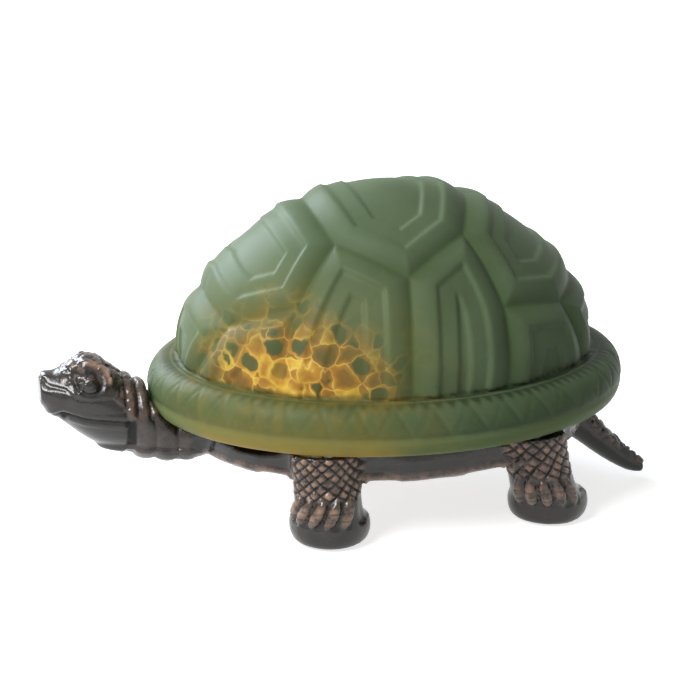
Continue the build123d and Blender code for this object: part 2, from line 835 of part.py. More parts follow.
def all_pieces():
    """Every piece of the night light, by the name of its node."""
    pieces = {
        "base_casting": base_casting(),
        "glass_shell": glass_shell(),
        "cord_bushing": cord_bushing(),
        "socket_bracket": socket_bracket(),
        "bracket_screw": bracket_screw(),
        "bracket_lock_washer": bracket_lock_washer(),
        "bracket_nut": bracket_nut(),
        "socket_body": socket_body(),
        "socket_thread_shell": socket_thread_shell(),
        "socket_centre_contact": socket_centre_contact(),
        "socket_terminal_screws": socket_terminal_screws(),
        "socket_fixing_screws": socket_fixing_screws(),
        "bulb_tip_contact": bulb_tip_contact(),
        "bulb_cap_insulator": bulb_cap_insulator(),
        "bulb_cap": bulb_cap(),
        "bulb_glass": bulb_glass(),
        "bulb_stem": bulb_stem(),
        "bulb_lead_wires": bulb_lead_wires(),
        "bulb_filament": bulb_filament(),
    }
    pieces.update(foot_pads())
    pieces.update(rest_pads())
    return pieces


os.makedirs("parts", exist_ok=True)
for name, piece in all_pieces().items():
    export_step(Pos(frame_shift, 0, 0) * piece, f"parts/{name}.step")
    print(name, "volume", round(piece.volume), "mm3")
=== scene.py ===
# %% [markdown]
# # A turtle night light
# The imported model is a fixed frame: its nodes are in metres, in the place where the real pieces sit.
# This lesson dresses that frame. The glass shell and the cast body get finer meshes than the frame's own,
# and every small piece that the frame already shapes well keeps its mesh and gets a real finish.

# %% Load the frame
import math
from functools import partial

import bmesh
import bpy
import numpy as np
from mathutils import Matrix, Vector, noise


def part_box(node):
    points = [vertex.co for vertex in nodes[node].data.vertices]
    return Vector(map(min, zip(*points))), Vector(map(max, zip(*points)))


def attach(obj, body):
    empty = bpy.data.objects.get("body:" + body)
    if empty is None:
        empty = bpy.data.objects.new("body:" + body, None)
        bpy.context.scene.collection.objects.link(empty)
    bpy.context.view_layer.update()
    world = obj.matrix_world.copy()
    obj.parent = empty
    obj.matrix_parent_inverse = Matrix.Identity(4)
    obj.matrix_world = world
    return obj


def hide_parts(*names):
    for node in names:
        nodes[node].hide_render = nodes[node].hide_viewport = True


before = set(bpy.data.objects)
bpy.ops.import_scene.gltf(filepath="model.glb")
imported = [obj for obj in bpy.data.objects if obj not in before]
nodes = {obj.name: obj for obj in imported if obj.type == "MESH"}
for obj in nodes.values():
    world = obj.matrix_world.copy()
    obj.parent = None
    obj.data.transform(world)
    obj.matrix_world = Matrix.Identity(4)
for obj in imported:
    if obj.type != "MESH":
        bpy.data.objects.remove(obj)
scene = bpy.context.scene
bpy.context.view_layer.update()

# %% [markdown]
# ## Camera
# The photograph looks down at the turtle's left side from a little ahead, through a long lens about a metre
# away. A long lens keeps the oval rim flat. The place and the angle were fitted to the ovals of the rim and
# of the band.

# %% Camera
camera_place = Vector((-0.21135, -0.9240, 0.3662))
camera_target = Vector((0.00255, 0.0027, 0.0572))
camera_data = bpy.data.cameras.new("photo_camera")
camera_data.lens = 131.14


def new_object(name, data):
    """A new object in the scene."""
    thing = bpy.data.objects.new(name, data)
    scene.collection.objects.link(thing)
    return thing


def put_in_place(name, data, place, target):
    """A new object for a camera or a light, at a place and turned to its target."""
    thing = new_object(name, data)
    thing.location = place
    thing.rotation_mode = "QUATERNION"
    thing.rotation_quaternion = (target - place).to_track_quat("-Z", "Y")
    return thing


scene.camera = put_in_place("photo_camera", camera_data, camera_place, camera_target)
scene.view_settings.view_transform = "Standard"
print("camera:", camera_data.lens, "mm lens,", round((camera_target - camera_place).length, 3), "m away")

# %% [markdown]
# ## Helpers for materials
# A colour is written as the sRGB hex value that the eye sees, and shaders want linear light, so one function
# turns the first into the second. Another adds a node, with its settings, its fixed inputs and its links.


# %% Helpers for materials
def linear(hex_colour):
    """The linear RGBA of a colour written as an sRGB hex value."""
    channels = [int(hex_colour[start:start + 2], 16) / 255 for start in (1, 3, 5)]
    return tuple(((c + 0.055) / 1.055) ** 2.4 if c > 0.04045 else c / 12.92 for c in channels) + (1.0,)


def fill(node, inputs):
    """Sets a node's inputs: each gets a fixed value or a link from a socket."""
    for key, value in inputs.items():
        if isinstance(value, bpy.types.NodeSocket):
            node.id_data.links.new(value, node.inputs[key])
        else:
            node.inputs[key].default_value = value


def add_node(tree, kind, inputs=(), stops=(), output=0, **settings):
    """Adds a shader node and gives one of its outputs; stops are the places and colours of a ramp."""
    node = tree.nodes.new("ShaderNode" + kind)
    for name, value in settings.items():
        setattr(node, name, value)
    for index, (place, colour) in enumerate(stops):
        # A new ramp has two stops already
        elements = node.color_ramp.elements
        stop = elements[index] if index < 2 else elements.new(place)
        stop.position = place
        stop.color = linear(colour)
    fill(node, dict(inputs))
    return node.outputs[output]


# A Mix node's first socket is the share; numbers use 2 and 3, vectors 4 and 5, and colours 6 and 7
mix_colours = {"data_type": "RGBA", "output": 2}
smooth = {"interpolation_type": "SMOOTHSTEP"}
times = {"operation": "MULTIPLY"}


def new_finish(name, **constants):
    """A material, its shader with the constant inputs set, and a function that adds nodes to it."""
    finish = bpy.data.materials.new(name)
    finish.use_nodes = True
    shader = finish.node_tree.nodes["Principled BSDF"]
    fill(shader, {key.replace("_", " "): value for key, value in constants.items()})
    return finish, shader, partial(add_node, finish.node_tree)


def per_metre(millimetres):
    """The scale that gives a pattern cells of this size, on coordinates in metres."""
    return 1000.0 / millimetres


# %% [markdown]
# ## Floor and light
# A product shot on white has a pale sweep under the object, a soft light from the upper left and a second one
# behind it that draws a sheen along the far edges. The world fills the shadows a little. The camera, a gloss
# or a glass sees a white floor and a white world, and the floor still shows the object's shadow.

# %% Floor
floor_glow = 0.76
floor_reach = 1.5
floor_mesh = bpy.data.meshes.new("studio_floor")
floor_bmesh = bmesh.new()
bmesh.ops.create_grid(floor_bmesh, x_segments=2, y_segments=2, size=floor_reach)
floor_bmesh.to_mesh(floor_mesh)
floor_bmesh.free()
floor = new_object("studio_floor", floor_mesh)


def background_rays(add):
    """1 for the rays that should see a plain white background: from the camera, a gloss or a glass."""
    path = add("LightPath").node.outputs
    seen = path["Is Camera Ray"]
    for ray in ("Is Glossy Ray", "Is Transmission Ray"):
        seen = add("Math", {0: seen, 1: path[ray]}, operation="MAXIMUM")
    return seen


# Matt paper: no gloss, and white to the camera wherever the shadow doesn't lie
floor_finish, shader, add = new_finish("white_paper_sweep", Roughness=0.9, Base_Color=linear("#CFCFCD"),
                                       Emission_Color=linear("#FFFFFF"))
glow = add("Math", {0: background_rays(add), 1: floor_glow}, **times)
fill(shader, {"Emission Strength": glow})
floor_mesh.materials.append(floor_finish)
print("floor:", 2 * floor_reach, "m wide")

# %% Light
world_fill = 0.13
light_aim = Vector((0.0, 0.0, 0.06))
softboxes = {
    "key_softbox": {"place": (-0.78, -0.50, 0.96), "size": 0.6, "power": 22.0, "colour": "#FFFFFF"},
    "edge_softbox": {"place": (-0.62, 1.00, 0.75), "size": 0.8, "power": 29.0, "colour": "#E8F1FF"},
}
world = bpy.data.worlds.new("studio_world")
scene.world = world
world.use_nodes = True
add = partial(add_node, world.node_tree)
strength = add("MapRange", {"Value": background_rays(add), "To Min": world_fill})
fill(world.node_tree.nodes["Background"], {"Color": linear("#FFFFFF"), "Strength": strength})

for name, softbox in softboxes.items():
    data = bpy.data.lights.new(name, "AREA")
    data.shape = "SQUARE"
    data.size = softbox["size"]
    data.energy = softbox["power"]
    data.color = linear(softbox["colour"])[:3]
    put_in_place(name, data, Vector(softbox["place"]), light_aim)
print("lights:", *softboxes)

# %% [markdown]
# ## Glass shell: the plain form
# The real shade is glass pressed in a mould, an oval dome above a rounded rim. It could be sculpted from a
# sphere, but a spun profile gives the mould's even wall directly: draw half a section, spin it round, then
# squash the circle to the oval. The section runs from the top of the dome down to the lip and back up inside.

# %% Glass shell: the plain form
shell_low, shell_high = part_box("glass_shell")
shell_middle = (shell_low.x + shell_high.x) / 2
shell_squash = (shell_high.y - shell_low.y) / (shell_high.x - shell_low.x)
rim_radius = 94.0
rim_height = 19.5
rim_widest_height = 8.5
rim_top_radius = 83.6
upper_rim_power = 0.9
lower_rim_power = 0.8
lip_radius = 88.0
lip_inner_radius = 82.0
lip_round = 0.8
dome_radius = 81.2
dome_height = 66.4
dome_power = 1.82
glass_wall = 4.0
curve_points = 400
dome_rings = 112
upper_rim_rings = 20
lower_rim_rings = 11
inner_rings = 14
spin_steps = 580
merge_gap = 1e-6


def dome_level(share, height):
    """Height of the dome above its foot, at a share of its radius."""
    return height * np.clip(1.0 - np.abs(share) ** dome_power, 0.0, None) ** (1.0 / dome_power)


def evenly_spaced(radius, level, count):
    """Points along a curve at even steps of its length."""
    length = np.concatenate([[0.0], np.cumsum(np.hypot(np.diff(radius), np.diff(level)))])
    steps = np.linspace(0.0, length[-1], count)
    return list(zip(np.interp(steps, length, radius), np.interp(steps, length, level)))


turn = np.linspace(0.0, math.pi / 2, curve_points)
share = np.sin(turn)
outer_dome = evenly_spaced(dome_radius * share, rim_height + dome_level(share, dome_height), dome_rings)
upper_rim = evenly_spaced(
    rim_top_radius + (rim_radius - rim_top_radius) * np.sin(turn) ** upper_rim_power,
    rim_widest_height + (rim_height - rim_widest_height) * np.cos(turn) ** upper_rim_power, upper_rim_rings)
lower_rim = evenly_spaced(
    lip_radius + (rim_radius - lip_radius) * np.cos(turn) ** lower_rim_power,
    rim_widest_height * (1.0 - np.sin(turn)), lower_rim_rings)
inner_share = np.sin(turn[::-1])
inner_dome = evenly_spaced(
    (dome_radius - glass_wall) * inner_share,
    rim_height + dome_level(inner_share, dome_height - glass_wall), inner_rings)
lip = [(lip_radius - lip_round, 0.0), (lip_inner_radius + lip_round, 0.0), (lip_inner_radius, lip_round)]
section = outer_dome + upper_rim + lower_rim[1:-1] + lip + inner_dome

shell_bmesh = bmesh.new()
corners = [shell_bmesh.verts.new((radius / 1000, 0.0, level / 1000)) for radius, level in section]
lines = [shell_bmesh.edges.new(pair) for pair in zip(corners, corners[1:])]
bmesh.ops.spin(shell_bmesh, geom=corners + lines, axis=(0, 0, 1), cent=(0, 0, 0),
               angle=2 * math.pi, steps=spin_steps, use_merge=True)
bmesh.ops.remove_doubles(shell_bmesh, verts=shell_bmesh.verts, dist=merge_gap)
bmesh.ops.recalc_face_normals(shell_bmesh, faces=shell_bmesh.faces)
bmesh.ops.scale(shell_bmesh, verts=shell_bmesh.verts, vec=(1.0, shell_squash, 1.0))
bmesh.ops.translate(shell_bmesh, verts=shell_bmesh.verts, vec=(shell_middle, 0.0, shell_low.z))
shell_mesh = bpy.data.meshes.new("shell_glass")
shell_bmesh.to_mesh(shell_mesh)
shell_bmesh.free()
shell_mesh.polygons.foreach_set("use_smooth", np.ones(len(shell_mesh.polygons), bool))


def triangle_count(mesh):
    """How many triangles a mesh has once its faces are split."""
    return sum(len(polygon.vertices) - 2 for polygon in mesh.polygons)


print("glass shell:", triangle_count(shell_mesh), "triangles")

# %% [markdown]
# ## Glass shell: the scutes
# A turtle's shell is covered in plates called scutes: five along the ridge, four on each side. The mould
# presses each as a raised frame with a valley between neighbours, and inside it two growth steps go down to
# a flat middle. Each edge is a plane through two corners. All of that relief is one curve of how deep a point
# lies inside the nearest plate, measured from those planes.

# %% Glass shell: corners of the scutes
seam_shares = {
    "ridge_front": (-0.88, 0.0), "ridge_middle_rear": (0.37, 0.0), "ridge_rear": (0.88, 0.0),
    "first_seam": (-0.82, -0.43), "second_seam": (-0.335, -0.475),
    "third_seam": (0.27, -0.49), "fourth_seam": (0.735, -0.53),
    "second_side": (-0.54, -0.665), "third_side": (-0.035, -0.735), "fourth_side": (0.405, -0.775),
    "first_foot": (-1.074, -0.240), "second_foot": (-0.726, -0.825), "third_foot": (-0.077, -1.098),
    "fourth_foot": (0.426, -1.014), "fifth_foot": (0.945, -0.563),
}
ridge_scutes = [
    ("ridge_front", "first_seam", "first_foot"),
    ("ridge_front", "first_seam", "second_side", "second_seam"),
    ("second_seam", "third_side", "third_seam", "ridge_middle_rear"),
    ("ridge_middle_rear", "third_seam", "fourth_side", "fourth_seam", "ridge_rear"),
    ("fifth_foot", "fourth_seam", "ridge_rear"),
]
side_scutes = [
    ("first_seam", "first_foot", "second_foot", "second_side"),
    ("second_side", "second_foot", "third_foot", "third_side", "second_seam"),
    ("third_side", "third_foot", "fourth_foot", "fourth_side", "third_seam"),
    ("fourth_side", "fourth_foot", "fifth_foot", "fourth_seam"),
]


def scute_corner(share):
    """The point on the round dome at a corner, or past its foot beyond the crease, in millimetres."""
    out = math.hypot(*share)
    level = (1.0 - out) * dome_height if out >= 1.0 else float(dome_level(out, dome_height))
    return np.array((dome_radius * share[0], dome_radius * share[1], rim_height + level))


# A ridge scute's corners are the near ones, then the far ones in the opposite order
outlines = []
for names in ridge_scutes:
    near = [seam_shares[name] for name in names]
    outlines.append(near + [(x, -y) for x, y in reversed(near) if y])
for names in side_scutes:
    near = [seam_shares[name] for name in names]
    outlines += [near, [(x, -y) for x, y in near]]
print("glass shell:", len(outlines), "scutes")

# %% Glass shell: depth inside a scute
far_away = 1e3


def edge_planes(outline):
    """Each edge's plane as its ends and an inward direction; an edge beyond the crease has none."""
    ends = [scute_corner(share) for share in outline]
    middle = sum(ends) / len(ends)
    planes = []
    for index, first in enumerate(ends):
        after = (index + 1) % len(ends)
        if min(math.hypot(*outline[index]), math.hypot(*outline[after])) > 1.0:
            planes.append(None)
            continue
        second = ends[after]
        outward = (first + second) / 2 - np.array((0.0, 0.0, rim_height))
        inward = np.cross(second - first, outward)
        inward /= np.linalg.norm(inward)
        inward *= math.copysign(1.0, np.dot(middle - first, inward))
        planes.append((first, inward, second))
    return planes


def depth_in_scute(points, outline):
    """How far each point lies inside a scute's edges, in millimetres, less than zero outside it."""
    planes = edge_planes(outline)
    distances = [None if plane is None else (points - plane[0]) @ plane[1] for plane in planes]
    depth = np.full(len(points), far_away)
    for index, plane in enumerate(planes):
        if plane is None:
            continue
        after = planes[(index + 1) % len(planes)]
        before = planes[index - 1]
        hollow_after = after is not None and (after[2] - plane[0]) @ plane[1] < 0.0
        hollow_before = before is not None and (before[0] - plane[0]) @ plane[1] < 0.0
        if hollow_after:
            both = np.maximum(distances[index], distances[(index + 1) % len(planes)])
            depth = np.minimum(depth, both)
        elif not hollow_before:
            depth = np.minimum(depth, distances[index])
    return depth


def ramp(value, start, end):
    """A smooth rise from 0 to 1."""
    t = np.clip((value - start) / (end - start), 0.0, 1.0)
    return t * t * (3.0 - 2.0 * t)


def bell(value, width):
    """A soft bump of height 1 and this half width."""
    return np.exp(-(value / width) ** 2)


def vertex_places(mesh):
    """The places and the normals of a mesh's vertices, as two tables."""
    tables = []
    for field in ("co", "normal"):
        flat = np.empty(len(mesh.vertices) * 3)
        mesh.vertices.foreach_get(field, flat)
        tables.append(flat.reshape(-1, 3))
    return tables


def store(mesh, **attributes):
    """Stores numbers with a mesh's vertices, by name, for its material to read."""
    for name, values in attributes.items():
        mesh.attributes.new(name, "FLOAT", "POINT").data.foreach_set("value", values.astype(np.float32))


# %% Glass shell: raise the scutes and mark the rim
frame_width = 8.6
frame_rise = 2.6
frame_power = 1.6
growth_places = (9.8, 17.4)
growth_fall = 1.05
growth_width = 1.8
foot_rise_share = 0.6
foot_fade = 14.0
crease_fade = (-0.5, 1.2)
crease_slack = 0.01
rim_line_height = 7.6
rim_line_depth = 0.5
rim_line_width = 0.9
margin_count = 40
margin_depth = 0.32
margin_width = 0.8
margin_start_shares = (0.0, 0.1)
margin_end_shares = (0.85, 1.0)
leaf_light_share = 0.6
leaf_edge_share = 0.1
# Painted shade: the glass is darkened near the scutes' edges and in a notched line along the crease
valley_tint_width = 6.0
crease_shade_width = 1.1
crease_shade_notches = 3
crease_shade_sway = 0.6
crease_shade_drift = 0.3

place, normal = vertex_places(shell_mesh)
round_place = (place - np.array((shell_middle, 0.0, shell_low.z))) * 1000
outward_wall = (normal * round_place).sum(1) > 0.0
round_place[:, 1] /= shell_squash
radius = np.hypot(round_place[:, 0], round_place[:, 1])
level = round_place[:, 2]
on_dome = outward_wall & (level >= rim_height - crease_slack)
on_rim = outward_wall & ~on_dome & (radius > (lip_inner_radius + lip_radius) / 2)

depth = np.full(len(place), -far_away)
for outline in outlines:
    depth[on_dome] = np.maximum(depth[on_dome], depth_in_scute(round_place[on_dome], outline))
inside = np.clip(depth, 0.0, None)
rise = frame_rise * (1.0 - (1.0 - np.clip(inside / frame_width, 0.0, 1.0)) ** frame_power)
rise *= foot_rise_share + (1.0 - foot_rise_share) * ramp(level, rim_height, rim_height + foot_fade)
for growth_place in growth_places:
    rise -= growth_fall * ramp(inside, growth_place - growth_width / 2, growth_place + growth_width / 2)
rise *= ramp(level - rim_height, *crease_fade)
rise[~on_dome] = 0.0

bearing = np.arctan2(round_place[:, 1], round_place[:, 0]) / (2 * math.pi) * margin_count
zigzag = np.abs(2.0 * (bearing - np.floor(bearing)) - 1.0)
up_the_rim = (level - rim_line_height) / (rim_height - rim_line_height)
margin_gap = np.abs(zigzag - up_the_rim) * math.pi * rim_radius / margin_count
marked = ramp(up_the_rim, *margin_start_shares) * (1.0 - ramp(up_the_rim, *margin_end_shares))
rim_fall = rim_line_depth * bell(level - rim_line_height, rim_line_width)
rim_fall += margin_depth * bell(margin_gap, margin_width) * marked
rise[on_rim] -= rim_fall[on_rim]
place += normal * (rise / 1000)[:, None]
shell_mesh.vertices.foreach_set("co", place.ravel())

leaf_part = ramp(zigzag - up_the_rim, -leaf_edge_share, leaf_edge_share)
leaf = leaf_light_share + (1.0 - leaf_light_share) * leaf_part
# A notched line along the crease, darkened as painted shade
crease_shade_offset = crease_shade_sway * np.sin(2 * math.pi * (crease_shade_notches * bearing + crease_shade_drift * np.sin(bearing)))
store(shell_mesh,
      valley=np.where(on_dome, 1.0 - ramp(inside, 0.0, valley_tint_width), 0.0),
      leaf=np.where(on_rim, leaf * marked, 0.0),
      crease=np.where(on_dome | on_rim, bell(level - rim_height - crease_shade_offset, crease_shade_width), 0.0))
shell_mesh.update()
shell_glass = new_object("shell_glass", shell_mesh)
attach(shell_glass, "shell")
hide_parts("glass_shell")
print("glass shell: relief from", rise.min().round(2), "to", rise.max().round(2), "mm")

# %% [markdown]
# ## Glass: sandblasted green
# The shade is deep green glass, frosted with sand, so its gloss is broad and dull and it looks pale only
# where it faces the light. The green is deeper on the rim's marks and paler along the lower lip, where the
# glass is thin, and painted shade darkens it in the valleys between the scutes and along the crease.

# %% Glass: sandblasted green
crease_z = (shell_low.z * 1000 + rim_height) / 1000
lip_line_z = (shell_low.z * 1000 + rim_line_height) / 1000
lip_blend = (0.0008, -0.0012)
# Painted shade darkens the valleys and the crease; the rim's marks are darker glass and the lip paler
tints = (("valley", 0.45, "#384A28"), ("lip", 0.45, "#6A7A48"), ("leaf", 0.5, "#33442A"),
         ("crease", 0.8, "#1A2516"))

# Frosted glass: a dull deep green that turns pale and soft towards a light, with hardly any mirror
glass_finish, shader, add = new_finish("sandblasted_green_glass",
                                       Roughness=0.46, IOR=1.5, Specular_IOR_Level=0.07)
coordinates = add("TexCoord", output="Object")
split = add("SeparateXYZ", {"Vector": coordinates}).node.outputs
cloud = add("TexNoise", {"Vector": coordinates, "Scale": per_metre(28.0), "Detail": 4.0})
base = add("ValToRGB", {"Fac": cloud}, stops=((0.3, "#48563D"), (0.7, "#54644B")))
tinted = {name: add("Attribute", output="Fac", attribute_name=name)
          for name in ("valley", "leaf", "crease")}
tinted["lip"] = add("MapRange", {"Value": split["Z"], "From Min": lip_line_z + lip_blend[0],
                                 "From Max": lip_line_z + lip_blend[1]})
for name, strength, colour in tints:
    part = add("Math", {0: tinted[name], 1: strength}, **times)
    base = add("Mix", {0: part, 6: base, 7: linear(colour)}, **mix_colours)
grain = add("TexNoise", {"Vector": coordinates, "Scale": per_metre(1.2)})
bump = add("Bump", {"Height": grain, "Strength": 0.08, "Distance": 0.0004})
fill(shader, {"Normal": bump})
print("finish:", glass_finish.name)

# %% [markdown]
# ## Glass: the lit patch
# Chips of coloured glass were melted into the wall. Where the bulb is behind them they show as amber cells
# and dark green islands in bright yellow veins, and round them the light only tints the green. The patch
# belongs to the wall, so its strength falls off from a point on each side of the bulb. Below the crease the
# rim is thick and smooth, so the light shows there as amber streaks, strongest in the thin lower lip.
# All of this glow is painted light: the glass gives off the colour itself, in place of the bulb shining
# through.

# %% Glass: how far the bulb's light reaches
glow_middle = (-0.034, 0.052, 0.063)
glow_scale = (0.92, 1.0, 1.40)
ragged_size = 15.0
ragged_width = 0.016
light_ends = {"lit": (0.050, 0.018), "haze": (0.078, 0.024), "rim": (0.066, 0.030)}
core_ends = (0.040, 0.006)
core_strengths = (0.14, 0.39)

side = add("Math", {0: split["Y"]}, operation="ABSOLUTE")
folded = add("CombineXYZ", {"X": split["X"], "Y": side, "Z": split["Z"]})
from_bulb = add("VectorMath", {0: folded, 1: glow_middle}, operation="SUBTRACT")
from_bulb = add("VectorMath", {0: from_bulb, 1: glow_scale}, **times)
reach = add("VectorMath", {0: from_bulb}, output="Value", operation="LENGTH")
ragged = add("TexNoise", {"Vector": coordinates, "Scale": per_metre(ragged_size), "Detail": 3.0})
ragged = add("MapRange", {"Value": ragged, "To Min": -ragged_width, "To Max": ragged_width})
ragged_reach = add("Math", {0: reach, 1: ragged}, operation="ADD")
light = {name: add("MapRange", {"Value": ragged_reach, "From Min": end, "From Max": full}, **smooth)
         for name, (end, full) in light_ends.items()}
core = add("MapRange", {"Value": reach, "From Min": core_ends[0], "From Max": core_ends[1],
                        "To Min": core_strengths[0], "To Max": core_strengths[1]}, **smooth)
print("lit patch: middle at", glow_middle)

# %% Glass: chips melted into the wall
chip_size = 7.4
warp_size = 7.0
warp_share = 0.005
melt_size = 9.0
chip_melt_share = 0.4
core_melt_share = 0.40
halo_width = 0.26
halo_strength = 0.18
dark_chips = (0.52, 0.44)
dark_strength = 0.9
island_radius = 0.56
island_edge = (0.04, 0.13)
vein_width = 0.045

# A cloud bends the cells, so that none is a plain polygon
warp = add("TexNoise", {"Vector": coordinates, "Scale": per_metre(warp_size)}).node
warped = add("Mix", {0: warp_share, 4: coordinates, 5: warp.outputs["Color"]}, output=1, data_type="VECTOR")
pattern = {"Vector": warped, "Scale": per_metre(chip_size)}
chips = add("TexVoronoi", pattern).node.outputs
seam = add("TexVoronoi", pattern, output="Distance", feature="DISTANCE_TO_EDGE")
chip_tone = add("SeparateColor", {"Color": chips["Color"]}).node.outputs

# Melted amber, from brown through orange to pale yellow: a gradient, paler towards the bulb
melt = add("TexNoise", {"Vector": coordinates, "Scale": per_metre(melt_size)})
melt = add("Mix", {0: chip_melt_share, 2: melt, 3: chip_tone[1]})
melt = add("Math", {0: core, 1: core_melt_share, 2: melt}, operation="MULTIPLY_ADD")
halo = add("MapRange", {"Value": seam, "From Min": halo_width, "From Max": 0.0,
                        "To Max": halo_strength}, **smooth)
melt = add("Math", {0: melt, 1: halo}, operation="ADD")
amber = add("ValToRGB", {"Fac": melt},
            stops=((0.38, "#503410"), (1.0, "#DAB040"), (0.56, "#824812"), (0.78, "#B07218")))

# Nearly half of the chips are dark green islands with round corners
dark_chip = add("MapRange", {"Value": chip_tone[0], "From Min": dark_chips[0],
                             "From Max": dark_chips[1], "To Max": dark_strength})
round_gap = add("Math", {0: island_radius, 1: chips["Distance"]}, operation="SUBTRACT")
round_gap = add("Math", {0: seam, 1: round_gap}, operation="MINIMUM")
island = add("MapRange", {"Value": round_gap, "From Min": island_edge[0],
                          "From Max": island_edge[1], "To Max": dark_chip}, **smooth)
vein_break = add("MapRange", {"Value": warp.outputs["Fac"], "From Min": 0.36, "From Max": 0.62,
                              "To Min": 0.05, "To Max": 0.62})
vein = add("MapRange", {"Value": seam, "From Min": vein_width, "From Max": 0.0,
                        "To Max": vein_break}, **smooth)
mottle = add("Mix", {0: island, 6: amber, 7: linear("#202C18")}, **mix_colours)
mottle = add("Mix", {0: vein, 6: mottle, 7: linear("#F2D068")}, **mix_colours)
print("lit patch: chips of", chip_size, "mm")

# %% Glass: the light in the rim, and all of it together
streak_stretch = (1.0, 1.0, 0.25)
streak_size = 7.0
crease_blend = 0.0025
lip_light_start = 0.006
rim_light_share = 0.19
rim_tint_share = 0.30
patch_tint_share = 0.45
haze_tint_share = 0.45

# Above the crease the chips show, and below it amber streaks that grow towards the lip
upright = add("VectorMath", {0: coordinates, 1: streak_stretch}, **times)
streak = add("TexNoise", {"Vector": upright, "Scale": per_metre(streak_size)})
streak = add("MapRange", {"Value": streak, "From Min": 0.38, "From Max": 0.62, "To Max": 0.4})
above = add("MapRange", {"Value": split["Z"], "From Min": crease_z, "From Max": crease_z + crease_blend})
lip_light = add("MapRange", {"Value": split["Z"], "From Min": crease_z - lip_light_start,
                             "From Max": shell_low.z})
rim_part = add("Math", {0: streak, 1: lip_light}, operation="MAXIMUM")
rim_amber = add("Mix", {0: rim_part, 6: linear("#141A0C"), 7: linear("#B88A2C")}, **mix_colours)
lamp_colour = add("Mix", {0: above, 6: rim_amber, 7: mottle}, **mix_colours)

# Painted light, as emission: the lit patch and the rim, over a haze
patch_core = add("Math", {0: light["lit"], 1: core}, **times)
rim_core = add("Math", {0: light["rim"], 1: rim_light_share}, **times)
lit_core = add("Mix", {0: above, 2: rim_core, 3: patch_core})
haze_tone = add("Mix", {0: island, 6: linear("#2A2709"), 7: linear("#161807")}, **mix_colours)
haze_light = add("Mix", {0: light["haze"], 6: linear("#000000"), 7: haze_tone}, **mix_colours)
shine = add("Mix", {0: lit_core, 6: haze_light, 7: lamp_colour}, **mix_colours)

# Painted light too: the base colour tinted by the same light
haze_base = add("Math", {0: light["haze"], 1: haze_tint_share}, **times)
base = add("Mix", {0: haze_base, 6: base, 7: linear("#55552A")}, **mix_colours)
rim_base = add("Math", {0: rim_part, 1: rim_tint_share}, **times)
lit_share = add("Mix", {0: above, 2: rim_base, 3: patch_tint_share})
lit_reach = add("Mix", {0: above, 2: light["rim"], 3: light["lit"]})
lit_base = add("Math", {0: lit_reach, 1: lit_share}, **times)
base = add("Mix", {0: lit_base, 6: base, 7: lamp_colour}, **mix_colours)
fill(shader, {"Base Color": base, "Emission Color": shine, "Emission Strength": 1.0})
shell_mesh.materials.append(glass_finish)
print("lit patch: joined to", glass_finish.name)

# %% [markdown]
# ## Cast body: a mesh to carve
# The band, head, legs and tail are one metal casting. The frame's own solid has every main form, but its
# edges are sharp and its faces long. A copy is merged and remeshed into even small faces, then smoothed,
# which rounds the corners as a sand casting's are. Where a leg leaves the band, and on the feet, more rounds
# give fillets and a plain ground for the toes. The parts to be carved are then divided.

# %% Cast body: even faces
voxel = 0.0013
casting_mesh = nodes["base_casting"].data.copy()
casting_mesh.name = "turtle_casting"
merge = bmesh.new()
merge.from_mesh(casting_mesh)
bmesh.ops.remove_doubles(merge, verts=merge.verts, dist=merge_gap)
merge.to_mesh(casting_mesh)
merge.free()
casting_mesh.materials.clear()
casting = new_object("turtle_casting", casting_mesh)
remesh = casting.modifiers.new("even_faces", "REMESH")
remesh.mode = "VOXEL"
remesh.voxel_size = voxel
even_mesh = bpy.data.meshes.new_from_object(casting.evaluated_get(bpy.context.evaluated_depsgraph_get()))
casting.modifiers.clear()
casting.data = even_mesh
even_mesh.name = "turtle_casting"
print("casting:", triangle_count(even_mesh), "triangles of even size")

# %% Cast body: rounded corners, and finer faces where relief goes
legs = {
    "front": {"foot": (-33.5, 49.0), "top": (-36.5, 55.5), "toes": (9.6, 20.6), "sweep": 0.42,
              "turn": 110.0, "scale_size": 6.4, "toe_size": 5.6},
    "rear": {"foot": (54.0, 43.5), "top": (44.0, 53.0), "toes": (9.0, 20.5), "sweep": 0.05,
             "turn": 104.0, "scale_size": 7.2, "toe_size": 5.2},
}
snout_start = -129.0
leg_root = {"end": "top", "reaches": (9.0, 28.0), "heights": (22.0, 36.5)}
foot_zone = {"end": "foot", "reaches": (0.0, 20.0), "heights": (10.0, 25.0)}
corner_rounds = 3
leg_root_rounds = 22
foot_rounds = 9
detail_ends = (-80.0, 80.0)
detail_heights = (8.0, 39.0)
detail_side = 36.0
detail_legs = ((-56.0, -15.0), (27.0, 73.0))


def in_millimetres(point):
    """A point's reach from the shell's middle, its distance from the ridge line and its height."""
    return (point.x - shell_middle) * 1000, abs(point.y) * 1000, point.z * 1000


def near_leg_point(point, end, reaches, heights):
    """True at these distances from the axis of a leg, measured at this end of it, and at these heights."""
    x, side, z = in_millimetres(point)
    gaps = [math.hypot(x - leg[end][0], side - leg[end][1]) for leg in legs.values()]
    return heights[0] < z < heights[1] and any(reaches[0] < gap < reaches[1] for gap in gaps)


def wants_detail(point):
    """True on the head, the outer legs and feet, and the tail."""
    x, side, z = in_millimetres(point)
    beside_leg = any(start < x < end for start, end in detail_legs)
    on_leg = detail_heights[0] < z < detail_heights[1] and side > detail_side and beside_leg
    return x < detail_ends[0] or x > detail_ends[1] or on_leg


